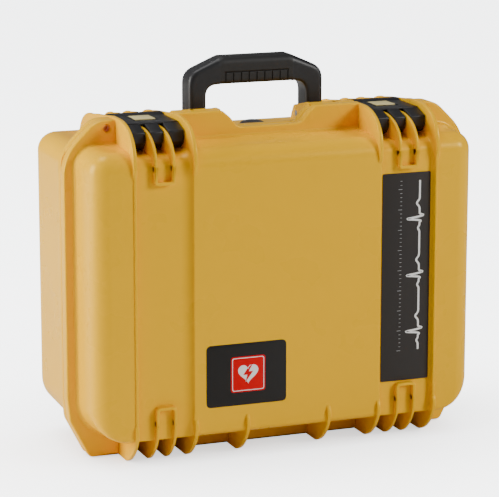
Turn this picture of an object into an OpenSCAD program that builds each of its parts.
// Hard carrying case with a defibrillator packed in foam inside it.
// +Z up, lid front towards -Y, origin on the floor under the middle of the case. Millimetres.

/* [Case] */
// Width across the flange
case_w = 411; // [400:1:500]
// Depth from the front ribs to the back ribs
case_d = 168; // [160:1:205]
// Height from the floor to the top of the raised flange
case_h = 327.5; // [300:0.5:400]
// Depth of the lid from its front ribs to the parting face
lid_d = 62.6; // [56:0.1:76]
// Wall thickness of both shells
wall = 3.5; // [2.5:0.1:4.5]
// Thickness of the lid's flange
lid_flange = 12; // [8:0.5:14]
// Thickness of the base's flange
base_flange = 10; // [8:0.5:14]
// Height of the body's underside over the floor
foot_h = 25; // [22:0.5:30]
// Depth of the upright channels in both faces
channel_depth = 5; // [3:0.5:8]

/* [Ribs] */
// Thickness of the outer ribs beside a channel
rib_outer = 3.8; // [3:0.1:5]
// Thickness of the inner ribs in a channel
rib_inner = 3; // [2.4:0.1:4]
// Clear width of a channel
channel_w = 55.3; // [50:0.1:62]
// Distance from the middle of the case to the middle of a channel
channel_x = 123.15; // [120:0.05:135]
// Distance between the middles of the two inner ribs
rib_pitch = 17.5; // [15:0.1:20]
// How far the ribs stand proud of the flat faces
rib_proud = 1; // [0.5:0.1:1.5]
// Position of the extra bottom ribs from the middle
mid_rib_x = 41.7; // [30:0.1:60]

/* [Hinge] */
// Radius of the hinge knuckles
knuckle_r = 7; // [6:0.1:8]
// Radius of the hinge pins
hinge_pin_r = 2; // [1.5:0.1:3]
// Angle cut away under the hinge line, shared by lid and base
hinge_relief = 104; // [100:1:110]

/* [Latches] */
// Radius of the front end of a latch, round its pin
latch_r = 13.5; // [11:0.1:13.8]
// Radius of a latch pin
latch_pin_r = 2.5; // [2:0.1:3.5]
// Width of the press button
button_w = 24; // [18:0.5:30]
// Length of the press button
button_l = 26; // [20:0.5:28]
// Travel of the press button
button_travel = 2.2; // [1.5:0.1:2.4]

/* [Handle] */
// Outer width of the handle
handle_w = 138; // [120:1:160]
// Width of one arm of the handle
arm_w = 17.3; // [14:0.1:20]
// Thickness of the handle, front to back
handle_t = 25; // [20:0.5:25]
// Height of the handle over the raised flange
handle_rise = 46; // [40:0.5:60]
// Height of the grip bar itself
grip_h = 26.5; // [22:0.5:30]
// Radius of the handle pins
handle_pin_r = 3; // [2:0.1:4]
// Number of grooves in the grip
grip_grooves = 9; // [5:1:11]

/* [Defibrillator] */
// Width of the defibrillator
unit_w = 277; // [250:1:290]
// Height of the defibrillator
unit_h = 234; // [200:1:240]
// Depth of the defibrillator
unit_d = 85; // [78:1:86]
// Wall of its two housings
unit_wall = 3; // [2:0.1:4]
// Radius of the shock button
shock_r = 21; // [15:0.5:25]
// Radius of the power button
power_r = 9; // [7:0.5:12]
// Width of the display window
display_w = 130; // [100:1:140]
// Height of the display window
display_h = 84; // [60:1:90]

/* [Fits] */
// Gap between the two shells at the parting face
parting_gap = 0.2; // [0.1:0.05:0.5]
// Side clearance between parts that swing or slide
slide_gap = 0.35; // [0.3:0.05:0.5]
// Radial clearance of a pin in the part that turns on it
pin_gap = 0.06; // [0.03:0.01:0.09]
// Clearance of the foam in the shells and round what it holds
foam_gap = 0.5; // [0.3:0.1:1]

/* [Hidden] */
$fn = 48;
eps = 0.01;

yellow = [0.93, 0.73, 0.12];
charcoal = [0.13, 0.13, 0.14];
steel = [0.75, 0.76, 0.78];
foam_grey = [0.25, 0.26, 0.28];

// --- levels and lines that several parts share -------------------------------------------------
half_w = case_w / 2;
parting_y = -case_d / 2 + lid_d;
base_d = case_d - lid_d;
flange_top = case_h - 2.5;
body_top = case_h - 27;
bay_floor = body_top - 3.3;
bay_flange_top = case_h - 24.5;
bay_in = body_top - bay_floor;
cavity_top = body_top - 6.8;
cavity_bottom = foot_h + wall;
lid_half_w = half_w - 10.5;
base_half_w = half_w - 2.5;
lid_side_r = 17;
base_side_r = 35;
hinge_z = knuckle_r;

channel_in = channel_x - channel_w / 2;
channel_out = channel_x + channel_w / 2;
inner_ribs = [channel_x - rib_pitch / 2, channel_x + rib_pitch / 2];
outer_ribs = [channel_in - rib_outer / 2, channel_out + rib_outer / 2];
loop_z_top = case_h - 56.6;
loop_z_bottom = 56.1;

// latch pin and strike, measured back from the parting face
latch_v = -26.1;
latch_z = case_h - 16.5;
slot_r = latch_r + 3;
strike_v0 = 21.4;
strike_v1 = 30.4;
strike_top = case_h - 14.2;

// press button on the latch, measured back from the parting face
button_v = -8;
button_top = case_h - 4.4;
button_h = 8.4;
button_floor = button_top - button_h - button_travel - 0.4;

// handle pivot
pivot_y = parting_y + 35.4;
pivot_z = case_h - 14.5;
arm_out = handle_w / 2;
arm_in = arm_out - arm_w;
mount_gap = 2;
mount_t = 4;

// defibrillator: middle of its front face
unit_x = 32;
unit_y = parting_y + 8.4;
unit_z = cavity_top - 25.5 - unit_h / 2;
unit_split = 24;
unit_r = 20;

// badge and label on the lid's front
badge_w = 81;
badge_h = 60.6;
badge_x = -43;
badge_z = 82.6;
badge_t = 1.6;
label_t = 0.6;
label_w = 50.5;
label_z0 = 59;
label_z1 = 264.6;

// --- outline helpers ---------------------------------------------------------------------------
// Points on a circular arc
function arc(c, r, a0, a1, n = 8) =
  [for (i = [0:n]) c + r * [cos(a0 + (a1 - a0) * i / n), sin(a0 + (a1 - a0) * i / n)]];

// Points on a quarter of a superellipse |x/a|^p + |z/b|^p = 1, from angle a0 to a1
function quarter(c, a, b, p, a0, a1, n = 12) =
  [for (i = [0:n]) let (t = a0 + (a1 - a0) * i / n, u = cos(t), w = sin(t))
    c + [a * sign(u) * pow(abs(u), 2 / p), b * sign(w) * pow(abs(w), 2 / p)]];

// Rectangle with its own radius at the bottom and at the top corners
function soft_rect(x0, z0, x1, z1, rb, rt) = concat(
  arc([x1 - rb, z0 + rb], rb, -90, 0), arc([x1 - rt, z1 - rt], rt, 0, 90),
  arc([x0 + rt, z1 - rt], rt, 90, 180), arc([x0 + rb, z0 + rb], rb, 180, 270));

// 2D (Y, Z) drawn along X, 2D (X, Z) drawn along Y, 2D (X, Y) drawn along Z
module along_x(x0, x1) { translate([x0, 0, 0]) rotate([90, 0, 90]) linear_extrude(x1 - x0) children(); }
module along_y(y0, y1) { translate([0, y1, 0]) rotate([90, 0, 0]) linear_extrude(y1 - y0) children(); }
module along_z(z0, z1) { translate([0, 0, z0]) linear_extrude(z1 - z0) children(); }
module rod_x(x0, x1, y, z, r) {
  translate([x0, y, z]) rotate([0, 90, 0]) cylinder(h = x1 - x0, r = r);
}
module rod_y(y0, y1, x, z, r) {
  translate([x, y0, z]) rotate([-90, 0, 0]) cylinder(h = y1 - y0, r = r);
}
module both_sides() {
  children();
  mirror([1, 0, 0]) children();
}
// Both shells are drawn with the parting face at y = 0 and their depth towards +Y
module lid_place() { translate([0, parting_y, 0]) mirror([0, 1, 0]) children(); }
module base_place() { translate([0, parting_y, 0]) children(); }

// --- shells ------------------------------------------------------------------------------------
// Side section of a shell: inset g, further inset of the face and of the top
function section(depth, g, face_in, top_in, r_top, drop) = concat(
  [[0, foot_h + g]],
  arc([depth - face_in - g - 5, foot_h + g + 5], 5, -90, 0, 4),
  arc([depth - face_in - g - r_top, body_top - drop - top_in - g - r_top], r_top, 0, 90),
  [[0, body_top - top_in - g]]);

// One tub without its flange. The three sections cross, so every edge is rounded
module tub(depth, hw, side_r, g, z_top, drop) {
  draft = 2;
  intersection() {
    along_y(0, depth - g)
      polygon(soft_rect(-hw + g, foot_h + g, hw - g, z_top, 34 - g, 18 - g));
    along_z(0, case_h)
      polygon(concat([[hw - g, 0]],
        arc([hw - g - draft - side_r, depth - g - side_r], side_r, 0, 90),
        arc([-hw + g + draft + side_r, depth - g - side_r], side_r, 90, 180), [[-hw + g, 0]]));
    along_x(-hw, hw)
      polygon(section(depth, g, 0, 0, side_r, drop));
  }
}

// Material taken out of the front of a tub by the two upright channels
module channel_cut(depth, g, side_r, drop) {
  both_sides()
    along_x(channel_in - g, channel_out + g)
      difference() {
        translate([0, 0]) square([depth + 5, case_h]);
        polygon(section(depth, g, channel_depth, bay_in, side_r, drop));
        translate([-1, -1]) square([lid_flange, case_h + 2]);
      }
}

module lid_solid(g) {
  difference() {
    tub(lid_d - rib_proud, lid_half_w, lid_side_r, g, body_top - g, 1);
    channel_cut(lid_d - rib_proud, g, lid_side_r, 1);
  }
}
module base_solid(g) {
  difference() {
    tub(base_d - rib_proud, base_half_w, base_side_r, g, body_top - g, 3);
    channel_cut(base_d - rib_proud, g, base_side_r, 3);
  }
}
// Room inside a shell: the same form, with a lower ceiling
module lid_room(g) {
  intersection() {
    lid_solid(g);
    translate([-half_w, -1, 0]) cube([case_w, lid_d, cavity_top - g + wall]);
  }
}
module base_room(g) {
  intersection() {
    base_solid(g);
    translate([-half_w, -1, 0]) cube([case_w, base_d, cavity_top - g + wall]);
  }
}

// Flange outline: side, shoulder arc, 45 degree shoulder, raised middle with its cut-out
shoulder_r = 48;
shoulder_z = case_h - 54.5;
function shoulder_end() = [half_w, shoulder_z] + shoulder_r * [cos(45) - 1, sin(45)];
function half_flange() = concat(
  [[0, 1], [half_w - 21.5, 1], [half_w - 2.5, 38], [half_w, 60]],
  arc([half_w - shoulder_r, shoulder_z], shoulder_r, 0, 45, 6),
  [[shoulder_end()[0] - (flange_top - shoulder_end()[1]), flange_top]],
  [[channel_in, flange_top], [channel_in - rib_outer, case_h]],
  [[47, case_h], [43, case_h - 3], [34, case_h - 14], [30, case_h - 16.5], [0, case_h - 16.5]]);

module flange(t) {
  difference() {
    along_y(0, t) both_sides() polygon(half_flange());
    both_sides() translate([channel_in, -1, bay_flange_top]) cube([channel_w, t + 2, 50]);
    both_sides() rod_y(-1, t + 1, padlock_x, padlock_z, padlock_r);
  }
}
padlock_x = half_w - 42.8;
padlock_z = case_h - 10;
padlock_r = 3.5;

// Ribs. Top and bottom outlines in (depth, z)
function lid_rib_top(h) = concat([[0, case_h - 42 + h]],
  quarter([lid_d - 48.5, case_h - 41.5], 48.5, h, 2.4, 90, 0),
  [[lid_d - 9, case_h - 44], [0, body_top - 3]]);
function base_rib_top(v0) = concat(v0 > 0 ? [[v0, case_h - 5]] : [[0, case_h - 0.5], [17.4, case_h - 2.8]],
  [[47.4, case_h - 5.5], [base_d - 40, case_h - 8]],
  quarter([base_d - 40, case_h - 41.5], 40, 33.5, 2.2, 90, 0),
  [[base_d - 9, case_h - 44], [v0, body_top - 5]]);
function rib_bottom(depth, v0) = concat([[v0, 0]],
  quarter([depth - 33, 39], 33, 39, 1.6, -90, 0), [[depth - 9, 42], [v0, foot_h + 2]]);

module rib(x, t) { along_x(x - t / 2, x + t / 2) children(); }

// The two inner ribs of a channel join in a loop on the face, above and below
module face_loop(depth, z_end, z_open) {
  up = sign(z_open - z_end);
  x0 = inner_ribs[0] - rib_inner / 2;
  x1 = inner_ribs[1] + rib_inner / 2;
  lo = min(z_end - up * rib_inner / 2, z_open);
  hi = max(z_end - up * rib_inner / 2, z_open);
  rb = up > 0 ? 4 : eps;
  rt = up > 0 ? eps : 4;
  along_y(depth - channel_depth - rib_proud - 1.5, depth)
    difference() {
      polygon(soft_rect(x0, lo, x1, hi, rb, rt));
      polygon(soft_rect(x0 + rib_inner, up > 0 ? lo + rib_inner : lo - 1, x1 - rib_inner,
        up > 0 ? hi + 1 : hi - rib_inner, up > 0 ? 1.5 : eps, up > 0 ? eps : 1.5));
    }
}

module lid_ribs() {
  both_sides() {
    for (x = outer_ribs) {
      rib(x, rib_outer) difference() {
        polygon(lid_rib_top(41));
        polygon(section(lid_d - rib_proud, 2, channel_depth, bay_in, lid_side_r, 1));
      }
      rib(x, rib_outer) lid_bottom_rib();
    }
    for (x = inner_ribs) {
      rib(x, rib_inner) difference() {
        polygon(lid_rib_top(36));
        polygon(section(lid_d - rib_proud, 2, channel_depth, bay_in, lid_side_r, 1));
        difference() {
          translate([-1, bay_flange_top - 2]) square([1 - latch_v, 60]);
          translate([-latch_v, latch_z]) circle(slot_r - 0.4);
        }
      }
      rib(x, rib_inner) lid_bottom_rib();
    }
    rib(mid_rib_x, rib_outer) difference() {
      polygon(rib_bottom(lid_d, 0));
      polygon(section(lid_d - rib_proud, 2, 0, 0, lid_side_r, 1));
    }
    face_loop(lid_d, loop_z_top, case_h - 40);
    face_loop(lid_d, loop_z_bottom, 38);
  }
}
module lid_bottom_rib() {
  difference() {
    polygon(rib_bottom(lid_d, 0));
    polygon(section(lid_d - rib_proud, 2, channel_depth, 0, lid_side_r, 1));
  }
}

module base_ribs() {
  strike_z0 = body_top - 4;
  both_sides() {
    for (x = outer_ribs) {
      rib(x, rib_outer) difference() {
        polygon(base_rib_top(0));
        polygon(section(base_d - rib_proud, 2, channel_depth, bay_in, base_side_r, 3));
      }
      rib(x, rib_outer) base_bottom_rib();
    }
    for (x = inner_ribs) {
      rib(x, rib_inner) difference() {
        polygon(base_rib_top(45.8));
        polygon(section(base_d - rib_proud, 2, channel_depth, bay_in, base_side_r, 3));
      }
      rib(x, rib_inner) base_bottom_rib();
    }
    rib(mid_rib_x, rib_outer) difference() {
      polygon(rib_bottom(base_d, 0));
      polygon(section(base_d - rib_proud, 2, 0, 0, base_side_r, 3));
    }
    along_x(channel_in - 1, channel_out + 1)
      polygon([[strike_v0, strike_z0], [strike_v0, strike_top - 2], [strike_v0 + 2, strike_top],
        [strike_v1, strike_top], [strike_v1, strike_top - 5], [strike_v1 - 4, strike_z0]]);
    face_loop(base_d, loop_z_top, case_h - 40);
    face_loop(base_d, loop_z_bottom, 38);
  }
}
module base_bottom_rib() {
  difference() {
    polygon(rib_bottom(base_d, 0));
    polygon(section(base_d - rib_proud, 2, channel_depth, 0, base_side_r, 3));
  }
}

// --- hinge -------------------------------------------------------------------------------------
// Lid knuckles are the ends of its channel ribs, the base's knuckles fill the gaps between them
hinge_ribs = [[outer_ribs[0], rib_outer], [inner_ribs[0], rib_inner],
  [inner_ribs[1], rib_inner], [outer_ribs[1], rib_outer]];
knuckle_clear = knuckle_r + 0.7;
hinge_bay_in = channel_in - rib_outer;
hinge_bay_out = channel_out + rib_outer;

// Wedge under the hinge line that lets the flanges swing past each other
module hinge_wedge() {
  run = (hinge_z + 2) * tan(hinge_relief / 2);
  along_x(-half_w, half_w) polygon([[0, hinge_z + 0.4], [-run, -2], [run, -2]]);
}
// What is drawn, without the two bays that hold the knuckles
module outside_bays(grow) {
  difference() {
    children();
    both_sides()
      translate([hinge_bay_in - grow, -20, -5]) cube([hinge_bay_out - hinge_bay_in + 2 * grow, 60, 40]);
  }
}
module lid_hinge_cut() {
  outside_bays(0) hinge_wedge();
  both_sides() {
    for (i = [0:2])
      rod_x(hinge_ribs[i][0] + hinge_ribs[i][1] / 2, hinge_ribs[i + 1][0] - hinge_ribs[i + 1][1] / 2,
        0, hinge_z, knuckle_clear);
    for (i = [0:2])
      translate([hinge_ribs[i][0] + hinge_ribs[i][1] / 2, -1, -1])
        cube([hinge_ribs[i + 1][0] - hinge_ribs[i + 1][1] / 2 - hinge_ribs[i][0] - hinge_ribs[i][1] / 2,
          lid_flange + 2, hinge_z + 3]);
  }
}
module lid_knuckles() {
  both_sides()
    for (k = hinge_ribs) {
      rod_x(k[0] - k[1] / 2, k[0] + k[1] / 2, 0, hinge_z, knuckle_r);
    }
}
module base_hinge_cut() {
  outside_bays(0) hinge_wedge();
  both_sides()
    for (k = hinge_ribs) {
      x0 = k[0] - k[1] / 2 - slide_gap;
      w = k[1] + 2 * slide_gap;
      rod_x(x0, x0 + w, 0, hinge_z, knuckle_clear);
      translate([x0, -1, -1]) cube([w, base_flange + 1.4, hinge_z + 1]);
    }
}
module base_knuckles() {
  both_sides()
    for (i = [0:2]) {
      x0 = hinge_ribs[i][0] + hinge_ribs[i][1] / 2 + slide_gap;
      x1 = hinge_ribs[i + 1][0] - hinge_ribs[i + 1][1] / 2 - slide_gap;
      rod_x(x0, x1, 0, hinge_z, knuckle_r);
      translate([x0, 0, 0]) cube([x1 - x0, base_flange, 2 * knuckle_r]);
    }
}
module hinge_pin(side) {
  mirror([side < 0 ? 1 : 0, 0, 0])
    rod_x(hinge_bay_in + 0.5, hinge_bay_out - 0.5, parting_y, hinge_z, hinge_pin_r);
}

// Groove and seal run in the lid's parting face, just outside the room
gasket_in = 1.5;
gasket_w = 3;
gasket_h = 3;
module gasket_ring(y0, y1, extra) {
  x_in = base_half_w - wall + gasket_in - extra;
  along_y(y0, y1) difference() {
    polygon(soft_rect(-x_in - gasket_w - 2 * extra, cavity_bottom - gasket_in - gasket_w - extra,
      x_in + gasket_w + 2 * extra, cavity_top + gasket_in + gasket_w + extra, 36, 20));
    polygon(soft_rect(-x_in, cavity_bottom - gasket_in + extra, x_in, cavity_top + gasket_in - extra, 33, 17));
  }
}

module lid_shell() {
  color(yellow) lid_place() difference() {
    union() {
      difference() {
        union() {
          lid_solid(0);
          flange(lid_flange);
        }
        lid_room(wall);
        lid_hinge_cut();
      }
      difference() {
        union() {
          lid_ribs();
          lid_knuckles();
        }
        outside_bays(1) hinge_wedge();
      }
    }
    both_sides() rod_x(hinge_bay_in - 1, hinge_bay_out + 1, 0, hinge_z, hinge_pin_r + pin_gap);
    both_sides() rod_x(hinge_bay_in - 1, hinge_bay_out + 1, -latch_v, latch_z, latch_pin_r);
    badge_recess();
    gasket_ring(-1, gasket_h, 0);
  }
}
module badge_recess() {
  along_y(badge_y, lid_d + 1)
    polygon(soft_rect(badge_x - badge_w / 2 - 0.2, badge_z - badge_h / 2 - 0.2, badge_x + badge_w / 2 + 0.2,
      badge_z + badge_h / 2 + 0.2, 5.2, 5.2));
}

// Walls beside the handle's arms
module handle_mounts() {
  v = pivot_y - parting_y;
  outline = concat([[0, case_h], [base_flange, case_h], [v + 6, case_h - 8]],
    arc([v + 4, pivot_z], 9, 60, -20, 5), [[v + 19, body_top - 4], [0, body_top - 4]]);
  both_sides() {
    along_x(arm_in - mount_gap - mount_t, arm_in - mount_gap) polygon(outline);
    along_x(arm_out + mount_gap, arm_out + mount_gap + mount_t) polygon(outline);
  }
}
valve_r = 13.5;
valve_stem_r = 8;
valve_z = body_top - 2;

module base_shell() {
  color(yellow) difference() {
    base_place() difference() {
      union() {
        difference() {
          union() {
            base_solid(0);
            flange(base_flange);
            base_ribs();
            handle_mounts();
          }
          base_room(wall);
          base_hinge_cut();
          translate([-half_w - 1, -9, -1]) cube([case_w + 2, 9 + parting_gap, case_h + 9]);
        }
        base_knuckles();
      }
      both_sides() rod_x(hinge_bay_in - 1, hinge_bay_out + 1, 0, hinge_z, hinge_pin_r);
      both_sides() rod_x(arm_in - mount_gap - mount_t - 1, arm_out + mount_gap + mount_t + 1,
        pivot_y - parting_y, pivot_z, handle_pin_r);
    }
    translate([0, pivot_y, cavity_top - 5]) cylinder(h = 30, r = valve_stem_r);
    translate([0, pivot_y, valve_z - 1]) cylinder(h = 30, r = valve_r + 0.5);
  }
}
module lid_gasket() {
  color(charcoal) lid_place() gasket_ring(0.1, gasket_h, 0);
}

// --- handle ------------------------------------------------------------------------------------
grip_half = 37.5;
grip_skin = 2.5;
bar_top = case_h + handle_rise;
bar_bottom = bar_top - grip_h;
// Right half of the outline seen from the front, from the foot of the arm to the flat top
handle_half = concat([[arm_out, pivot_z - 20], [arm_out, bar_top - 25.5]],
  arc([arm_out - 16, bar_top - 25.5], 16, 0, 66, 6), [[35, bar_top]]);
handle_outline = concat(handle_half,
  [for (i = [len(handle_half) - 1:-1:0]) [-handle_half[i][0], handle_half[i][1]]]);

module handle_side_profile() {
  translate([pivot_y, 0]) {
    translate([0, pivot_z]) circle(handle_t / 2);
    polygon(concat([[-handle_t / 2, pivot_z], [handle_t / 2, pivot_z]],
      arc([handle_t / 2 - 7, bar_top - 7], 7, 0, 90, 5),
      arc([-handle_t / 2 + 7, bar_top - 7], 7, 90, 180, 5)));
  }
}
module handle_solid() {
  intersection() {
    along_y(pivot_y - handle_t, pivot_y + handle_t) difference() {
      polygon(handle_outline);
      polygon(soft_rect(-arm_in, pivot_z - 30, arm_in, bar_bottom, 1, 12));
    }
    along_x(-arm_out, arm_out) handle_side_profile();
  }
}
module grip_core() {
  along_x(-grip_half - 1, grip_half + 1) translate([pivot_y, 0])
    polygon(soft_rect(-handle_t / 2 + grip_skin, bar_bottom + grip_skin, handle_t / 2 - grip_skin,
      bar_top - grip_skin, 3, 5));
}
module handle_frame() {
  color(charcoal) difference() {
    union() {
      difference() {
        handle_solid();
        translate([-grip_half, pivot_y - 50, bar_bottom - 5]) cube([2 * grip_half, 100, 60]);
      }
      grip_core();
      both_sides() rod_x(arm_in - mount_gap + 0.4, arm_out + mount_gap - 0.4, pivot_y, pivot_z, 9);
    }
    both_sides() rod_x(arm_in - 10, arm_out + 10, pivot_y, pivot_z, handle_pin_r + pin_gap);
  }
}
module handle_grip() {
  pitch = 2 * (grip_half - 1.5) / grip_grooves;
  color([0.1, 0.1, 0.1]) difference() {
    intersection() {
      handle_solid();
      translate([-grip_half, pivot_y - 50, bar_bottom - 5]) cube([2 * grip_half, 100, 60]);
    }
    grip_core();
    for (i = [0:grip_grooves - 1])
      translate([(i - (grip_grooves - 1) / 2) * pitch - 1, pivot_y - 50, bar_bottom - 1])
        cube([2, 51 - handle_t / 2, 13]);
  }
}
module handle_pin(side) {
  mirror([side < 0 ? 1 : 0, 0, 0]) color(steel)
    rod_x(arm_in - mount_gap - mount_t, arm_out + mount_gap + mount_t, pivot_y, pivot_z, handle_pin_r);
}

// --- latches -----------------------------------------------------------------------------------
// Side outline of a latch, measured back from the parting face
function latch_outline() = [[latch_v - 8, latch_z + 7], [-17.6, case_h - 5.5], [-9, case_h - 5],
  [19, case_h - 4.8], [22.5, case_h - 3.1], [28, case_h - 2.8], [34, case_h - 4.2],
  [40.5, case_h - 7.6], [42.4, case_h - 10.4],
  [41.8, case_h - 13.9], [strike_v0 - 0.5, case_h - 13.9], [strike_v0 - 1, case_h - 18],
  [2, case_h - 20.5], [latch_v + 11, case_h - 21.5], [latch_v, latch_z]];

// Everything under the sloping roof of the fingers
latch_roof = [[-60, latch_z - 20], [0, latch_z - 20], [0, case_h - 5.5], [-17.6, case_h - 5.5],
  [-38, case_h - 10.6], [-60, case_h - 16]];
module latch_body() {
  difference() {
    union() {
      intersection() {
        rod_x(channel_in + slide_gap, channel_out - slide_gap, latch_v, latch_z, latch_r);
        along_x(channel_in, channel_out) polygon(latch_roof);
      }
      along_x(channel_in + slide_gap, channel_out - slide_gap) polygon(latch_outline());
    }
    for (x = inner_ribs) {
      x0 = x - rib_inner / 2 - slide_gap - 0.15;
      w = rib_inner + 2 * slide_gap + 0.3;
      rod_x(x0, x0 + w, latch_v, latch_z, slot_r);
      translate([x0, latch_v - 30, latch_z - 30]) cube([w, 30, 60]);
    }
    rod_x(channel_in, channel_out, latch_v, latch_z, latch_pin_r + pin_gap);
    translate([channel_x - button_w / 2 - slide_gap, button_v - slide_gap, button_floor])
      cube([button_w + 2 * slide_gap, button_l + 2 * slide_gap, 40]);
  }
}
module mirrored(side) { mirror([side < 0 ? 1 : 0, 0, 0]) base_place() children(); }
module latch(side) { color(charcoal) mirrored(side) latch_body(); }
module latch_pin(side) {
  color(steel) mirrored(side)
    rod_x(hinge_bay_in + 0.6, hinge_bay_out - 0.6, latch_v, latch_z, latch_pin_r);
}
spring_r = 3.6;
spring_wire = 0.6;
spring_seat = 4.5;
pad_t = 1;
pad_w = button_w - 4;
pad_l = button_l - 5;
module latch_button(side) {
  color(charcoal) mirrored(side) difference() {
    translate([channel_x - button_w / 2, button_v, button_top - button_h])
      cube([button_w, button_l, button_h]);
    translate([channel_x, button_v + button_l / 2, button_top - button_h - 1])
      cylinder(h = spring_seat + 1, r = spring_r + 1);
    pad_block(0.05);
  }
}
module pad_block(g) {
  translate([channel_x - pad_w / 2 - g, button_v + (button_l - pad_l) / 2 - g, button_top - pad_t + 0.3])
    cube([pad_w + 2 * g, pad_l + 2 * g, pad_t]);
}
module button_pad(side) { color([0.93, 0.86, 0.5]) mirrored(side) pad_block(0); }

// Coil spring as one swept tube: rings of 8 points that climb with the turns
module coil(r, wire, h, turns) {
  steps = 16 * turns;
  sides = 8;
  pts = [for (i = [0:steps], k = [0:sides - 1])
    let (a = 360 * turns * i / steps, b = 360 * k / sides, q = r + wire * cos(b))
      [q * cos(a), q * sin(a), wire + (h - 2 * wire) * i / steps + wire * sin(b)]];
  quads = [for (i = [0:steps - 1], k = [0:sides - 1])
    [i * sides + k, i * sides + (k + 1) % sides, (i + 1) * sides + (k + 1) % sides, (i + 1) * sides + k]];
  ends = [[for (k = [0:sides - 1]) sides - 1 - k], [for (k = [0:sides - 1]) steps * sides + k]];
  polyhedron(points = pts, faces = concat([for (q = quads) [q[3], q[2], q[1], q[0]]],
    [for (e = ends) [for (j = [sides - 1:-1:0]) e[j]]]));
}
module latch_spring(side) {
  color(steel) mirrored(side)
    translate([channel_x, button_v + button_l / 2, button_floor])
      coil(spring_r, spring_wire / 2, spring_seat + 0.3, 4);
}

// --- pressure valve ----------------------------------------------------------------------------
module valve_body() {
  color([0.3, 0.3, 0.32]) translate([0, pivot_y, 0]) difference() {
    union() {
      translate([0, 0, cavity_top - 2]) cylinder(h = valve_z - cavity_top + 3, r = valve_stem_r);
      translate([0, 0, valve_z + 0.6]) cylinder(h = 3.2, r = valve_r);
    }
    translate([0, 0, cavity_top - 3]) cylinder(h = 40, r = 4);
    translate([0, 0, valve_z + 1.6]) cylinder(h = 40, r = valve_r - 3);
  }
}
module valve_membrane() {
  color("white") translate([0, pivot_y, valve_z + 1.6]) cylinder(h = 0.5, r = valve_r - 3.1);
}
module valve_seal() {
  color("black") translate([0, pivot_y, valve_z - 0.4])
    rotate_extrude() translate([valve_stem_r + 2.2, 0]) circle(r = 0.6, $fn = 24);
}
module valve_cap() {
  dome = [for (i = [0:6]) [valve_r * cos(15 * i), valve_z + 6.8 + 4.2 * sin(15 * i)]];
  color([0.28, 0.28, 0.3]) translate([0, pivot_y, 0])
    rotate_extrude() polygon(concat([[0, valve_z + 3.8], [valve_r, valve_z + 3.8]], dome));
}

// --- badge and label ---------------------------------------------------------------------------
badge_y = lid_d - rib_proud - badge_t + 0.4;
module badge_plate() {
  color([0.1, 0.09, 0.09]) lid_place() along_y(badge_y, badge_y + badge_t)
    polygon(soft_rect(badge_x - badge_w / 2, badge_z - badge_h / 2, badge_x + badge_w / 2,
      badge_z + badge_h / 2, 5, 5));
}
module badge_symbol() {
  s = 17.5;
  color([0.8, 0.03, 0.08]) lid_place() along_y(badge_y + badge_t, badge_y + badge_t + 0.3)
    polygon(soft_rect(badge_x + 1.4 - s, badge_z - s, badge_x + 1.4 + s, badge_z + s, 3, 3));
}
label_y = lid_d - rib_proud - channel_depth;
module side_label() {
  color([0.22, 0.21, 0.2]) lid_place() along_y(label_y, label_y + label_t)
    difference() {
      polygon(soft_rect(channel_x - label_w / 2, label_z0, channel_x + label_w / 2, label_z1, 2, 2));
      polygon(soft_rect(inner_ribs[0] - rib_inner / 2 - 0.5, 0, inner_ribs[1] + rib_inner / 2 + 0.5,
        loop_z_bottom + rib_inner / 2 + 0.5, 1, 4));
    }
}
module label_trace() {
  mid = channel_x + 14;
  color("white") lid_place() along_y(label_y + label_t, label_y + label_t + 0.2)
    polygon(soft_rect(mid - 1.2, label_z0 + 30, mid + 1.2, label_z1 - 8, 1, 1));
}

// --- soft inserts ------------------------------------------------------------------------------
pocket_x0 = -base_half_w + wall + 20;
pocket_x1 = unit_x - unit_w / 2 - 14;
pocket_z0 = unit_z - 95;
pocket_z1 = unit_z + 95;
pocket_depth = 86;
module base_foam() {
  color(foam_grey) difference() {
    base_place() intersection() {
      base_room(wall + foam_gap);
      translate([-half_w, 1, 0]) cube([case_w, base_d, case_h]);
    }
    in_unit() along_y(-20, unit_d + foam_gap)
      polygon(soft_rect(-unit_w / 2 - foam_gap, -unit_h / 2 - foam_gap, unit_w / 2 + foam_gap,
        unit_h / 2 + foam_gap, unit_r, unit_r));
    base_place() along_y(-5, pocket_depth)
      polygon(soft_rect(pocket_x0, pocket_z0, pocket_x1, pocket_z1, 8, 8));
    translate([0, pivot_y, cavity_top - 4]) cylinder(h = 10, r = valve_stem_r + 2);
  }
}
module lid_foam() {
  color(foam_grey) lid_place() intersection() {
    lid_room(wall + foam_gap);
    translate([-half_w, 2, 0]) cube([case_w, lid_d, case_h]);
  }
}
pouch_t = 12;
module pads_pouch() {
  color([0.75, 0.77, 0.8]) base_place() along_y(pocket_depth - pouch_t, pocket_depth - 0.2)
    polygon(soft_rect(pocket_x0 + 1.5, pocket_z0 + 4, pocket_x1 - 1.5, pocket_z1 - 4, 6, 6));
}

// --- defibrillator -----------------------------------------------------------------------------
module in_unit() { translate([unit_x, unit_y, unit_z]) children(); }
module block(x, z, w, h, y0, y1, r) {
  along_y(y0, y1) polygon(soft_rect(x - w / 2, z - h / 2, x + w / 2, z + h / 2, r, r));
}
display_at = [-40, 50];
shock_at = [88, -8];
power_at = [104, 78];
menu_at = [[-82, -26], [-2, -26]];
menu_w = 26;
menu_h = 12;
socket_at = [84, -82];
socket_w = 48;
socket_h = 28;
speaker_at = [-88, -80];
speaker_r = 24;
key_travel = 1.6;
key_proud = 2;
bumper_h = 16;
bumper_t = 2.5;
seal_w = 1.4;

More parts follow.
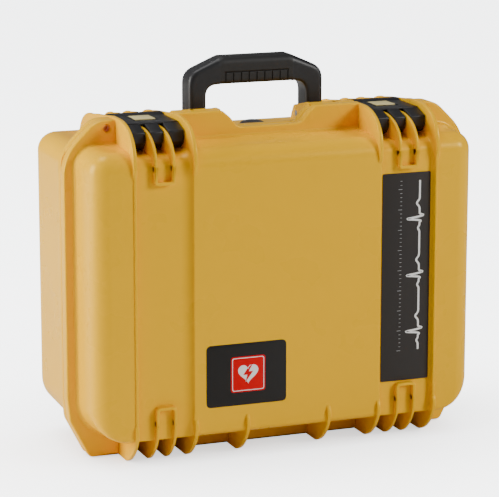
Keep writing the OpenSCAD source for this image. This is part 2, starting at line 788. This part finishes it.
module unit_front_case() {
  color([0.2, 0.21, 0.23]) in_unit() difference() {
    block(0, 0, unit_w - 2 * bumper_t, unit_h - 2 * bumper_t, 0, unit_split, unit_r);
    difference() {
      block(0, 0, unit_w - 2 * (bumper_t + unit_wall), unit_h - 2 * (bumper_t + unit_wall),
        unit_wall, unit_split + 1, unit_r - unit_wall);
      block(socket_at[0], socket_at[1], socket_w + 2 * unit_wall, socket_h + 2 * unit_wall, 0, 15, 3);
    }
    block(display_at[0], display_at[1], display_w, display_h, -1, 1.6, 4);
    block(display_at[0], display_at[1], display_w - 8, display_h - 8, -1, 10, 3);
    rod_y(-1, 10, shock_at[0], shock_at[1], shock_r + slide_gap);
    rod_y(-1, 10, power_at[0], power_at[1], power_r + slide_gap);
    for (m = menu_at) block(m[0], m[1], menu_w + 2 * slide_gap, menu_h + 2 * slide_gap, -1, 10, 3);
    block(socket_at[0], socket_at[1], socket_w, socket_h, -1, 12, 2);
    for (i = [-3:3]) block(speaker_at[0] + i * 6, speaker_at[1], 2.4, 30, -1, 10, 1.1);
  }
}
module unit_rear_case() {
  color([0.16, 0.17, 0.19]) in_unit() difference() {
    block(0, 0, unit_w - 2 * bumper_t, unit_h - 2 * bumper_t, unit_split + 0.2, unit_d, unit_r);
    difference() {
      block(0, 0, unit_w - 2 * (bumper_t + unit_wall), unit_h - 2 * (bumper_t + unit_wall),
        unit_split, unit_d - unit_wall, unit_r - unit_wall);
      block(battery_at[0], battery_at[1], battery_w + 2 * unit_wall, battery_h + 2 * unit_wall,
        unit_d - battery_d - unit_wall, unit_d, 3);
      for (p = screw_at) rod_y(unit_split, unit_d, p[0], p[1], 5);
    }
    block(battery_at[0], battery_at[1], battery_w + 0.6, battery_h + 0.6, unit_d - battery_d - 0.3,
      unit_d + 1, 2);
    for (p = screw_at) {
      rod_y(unit_split - 1, unit_d + 1, p[0], p[1], 1.6);
      rod_y(unit_d - 3, unit_d + 1, p[0], p[1], 3.2);
    }
  }
}
battery_at = [60, -55];
battery_w = 104;
battery_h = 72;
battery_d = 38;
screw_at = [for (x = [-1, 1], z = [-1, 1]) [x * (unit_w / 2 - 16), z * (unit_h / 2 - 16)]];
module unit_seal() {
  g = bumper_t + unit_wall;
  color("black") in_unit() difference() {
    block(0, 0, unit_w - 2 * g - 0.4, unit_h - 2 * g - 0.4, unit_split - 3, unit_split + 3, unit_r - unit_wall);
    block(0, 0, unit_w - 2 * (g + seal_w), unit_h - 2 * (g + seal_w), unit_split - 4, unit_split + 4, unit_r - 5);
    for (p = screw_at) rod_y(unit_split - 4, unit_split + 4, p[0], p[1], 5.3);
  }
}
module unit_bumper() {
  color([0.08, 0.08, 0.08]) in_unit() difference() {
    block(0, 0, unit_w, unit_h, unit_split - bumper_h / 2, unit_split + bumper_h / 2, unit_r + 2);
    block(0, 0, unit_w - 2 * bumper_t, unit_h - 2 * bumper_t, 0, unit_d, unit_r);
  }
}
module display_lens() {
  color([0.1, 0.12, 0.14]) in_unit()
    block(display_at[0], display_at[1], display_w - 0.2, display_h - 0.2, 0, 1.6, 3.9);
}
module display_panel() {
  color([0.5, 0.6, 0.55]) in_unit()
    block(display_at[0], display_at[1], display_w - 8.4, display_h - 8.4, 1.8, 6, 2.5);
}
module power_button() {
  color([0.15, 0.6, 0.25]) in_unit() {
    rod_y(-key_proud, unit_wall + 1, power_at[0], power_at[1], power_r);
    rod_y(unit_wall + 0.3, unit_wall + 1.8, power_at[0], power_at[1], power_r + 2);
  }
}
module shock_button() {
  color([0.9, 0.35, 0.05]) in_unit() {
    rod_y(-key_proud, unit_wall + 1, shock_at[0], shock_at[1], shock_r);
    rod_y(unit_wall + 0.3, unit_wall + 1.8, shock_at[0], shock_at[1], shock_r + 2);
  }
}
module menu_button(i) {
  color([0.55, 0.57, 0.6]) in_unit() {
    block(menu_at[i][0], menu_at[i][1], menu_w, menu_h, -key_proud, unit_wall + 1, 2.5);
    block(menu_at[i][0], menu_at[i][1], menu_w + 4, menu_h + 4, unit_wall + 0.3, unit_wall + 1.8, 3);
  }
}
module electrode_socket() {
  color([0.85, 0.85, 0.82]) in_unit() {
    block(socket_at[0], socket_at[1], socket_w - 0.4, socket_h - 0.4, 1, 11.8, 1.8);
    block(socket_at[0], socket_at[1], socket_w - 10, socket_h - 10, -0.6, 1.5, 4);
  }
}
module battery_pack() {
  color([0.25, 0.26, 0.28]) in_unit()
    block(battery_at[0], battery_at[1], battery_w, battery_h, unit_d - battery_d, unit_d, 2);
}
board_y = 30;
board_t = 1.6;
module main_board() {
  color([0.05, 0.35, 0.18]) in_unit() {
    block(-10, 0, 200, 170, board_y, board_y + board_t, 2);
    block(-60, 40, 30, 30, board_y - 3, board_y, 1);
    block(0, 50, 22, 16, board_y - 2.4, board_y, 1);
    block(60, 50, 18, 40, board_y - 8, board_y, 1);
    block(50, 0, 26, 26, board_y - 4, board_y, 1);
  }
}
module capacitor() {
  color([0.1, 0.2, 0.5]) in_unit() translate([-110, 57, 40]) rotate([0, 90, 0]) cylinder(h = 92, r = 21);
}
module speaker() {
  color([0.3, 0.3, 0.3]) in_unit() {
    rod_y(unit_wall + 0.2, unit_wall + 4, speaker_at[0], speaker_at[1], speaker_r);
    rod_y(unit_wall + 4, unit_wall + 12, speaker_at[0], speaker_at[1], speaker_r / 2);
  }
}
module unit_screws() {
  color(steel) in_unit()
    for (p = screw_at) {
      rod_y(unit_split + 1, unit_d - 3, p[0], p[1], 1.6);
      rod_y(unit_d - 3, unit_d - 0.4, p[0], p[1], 3);
    }
}

base_shell();
lid_shell();
lid_gasket();
color(steel) hinge_pin(-1);  // hinge_pin_left
color(steel) hinge_pin(1);  // hinge_pin_right
handle_frame();
handle_grip();
handle_pin(-1);  // handle_pin_left
handle_pin(1);  // handle_pin_right
latch(-1);  // latch_left
latch(1);  // latch_right
latch_pin(-1);  // latch_pin_left
latch_pin(1);  // latch_pin_right
latch_button(-1);  // latch_button_left
latch_button(1);  // latch_button_right
button_pad(-1);  // button_pad_left
button_pad(1);  // button_pad_right
latch_spring(-1);  // latch_spring_left
latch_spring(1);  // latch_spring_right
valve_body();
valve_cap();
valve_seal();
valve_membrane();
badge_plate();
badge_symbol();
side_label();
label_trace();
base_foam();
lid_foam();
pads_pouch();
unit_front_case();
unit_rear_case();
unit_seal();
unit_bumper();
display_lens();
display_panel();
power_button();
shock_button();
menu_button(0);  // menu_button_left
menu_button(1);  // menu_button_right
electrode_socket();
battery_pack();
main_board();
capacitor();
speaker();
unit_screws();
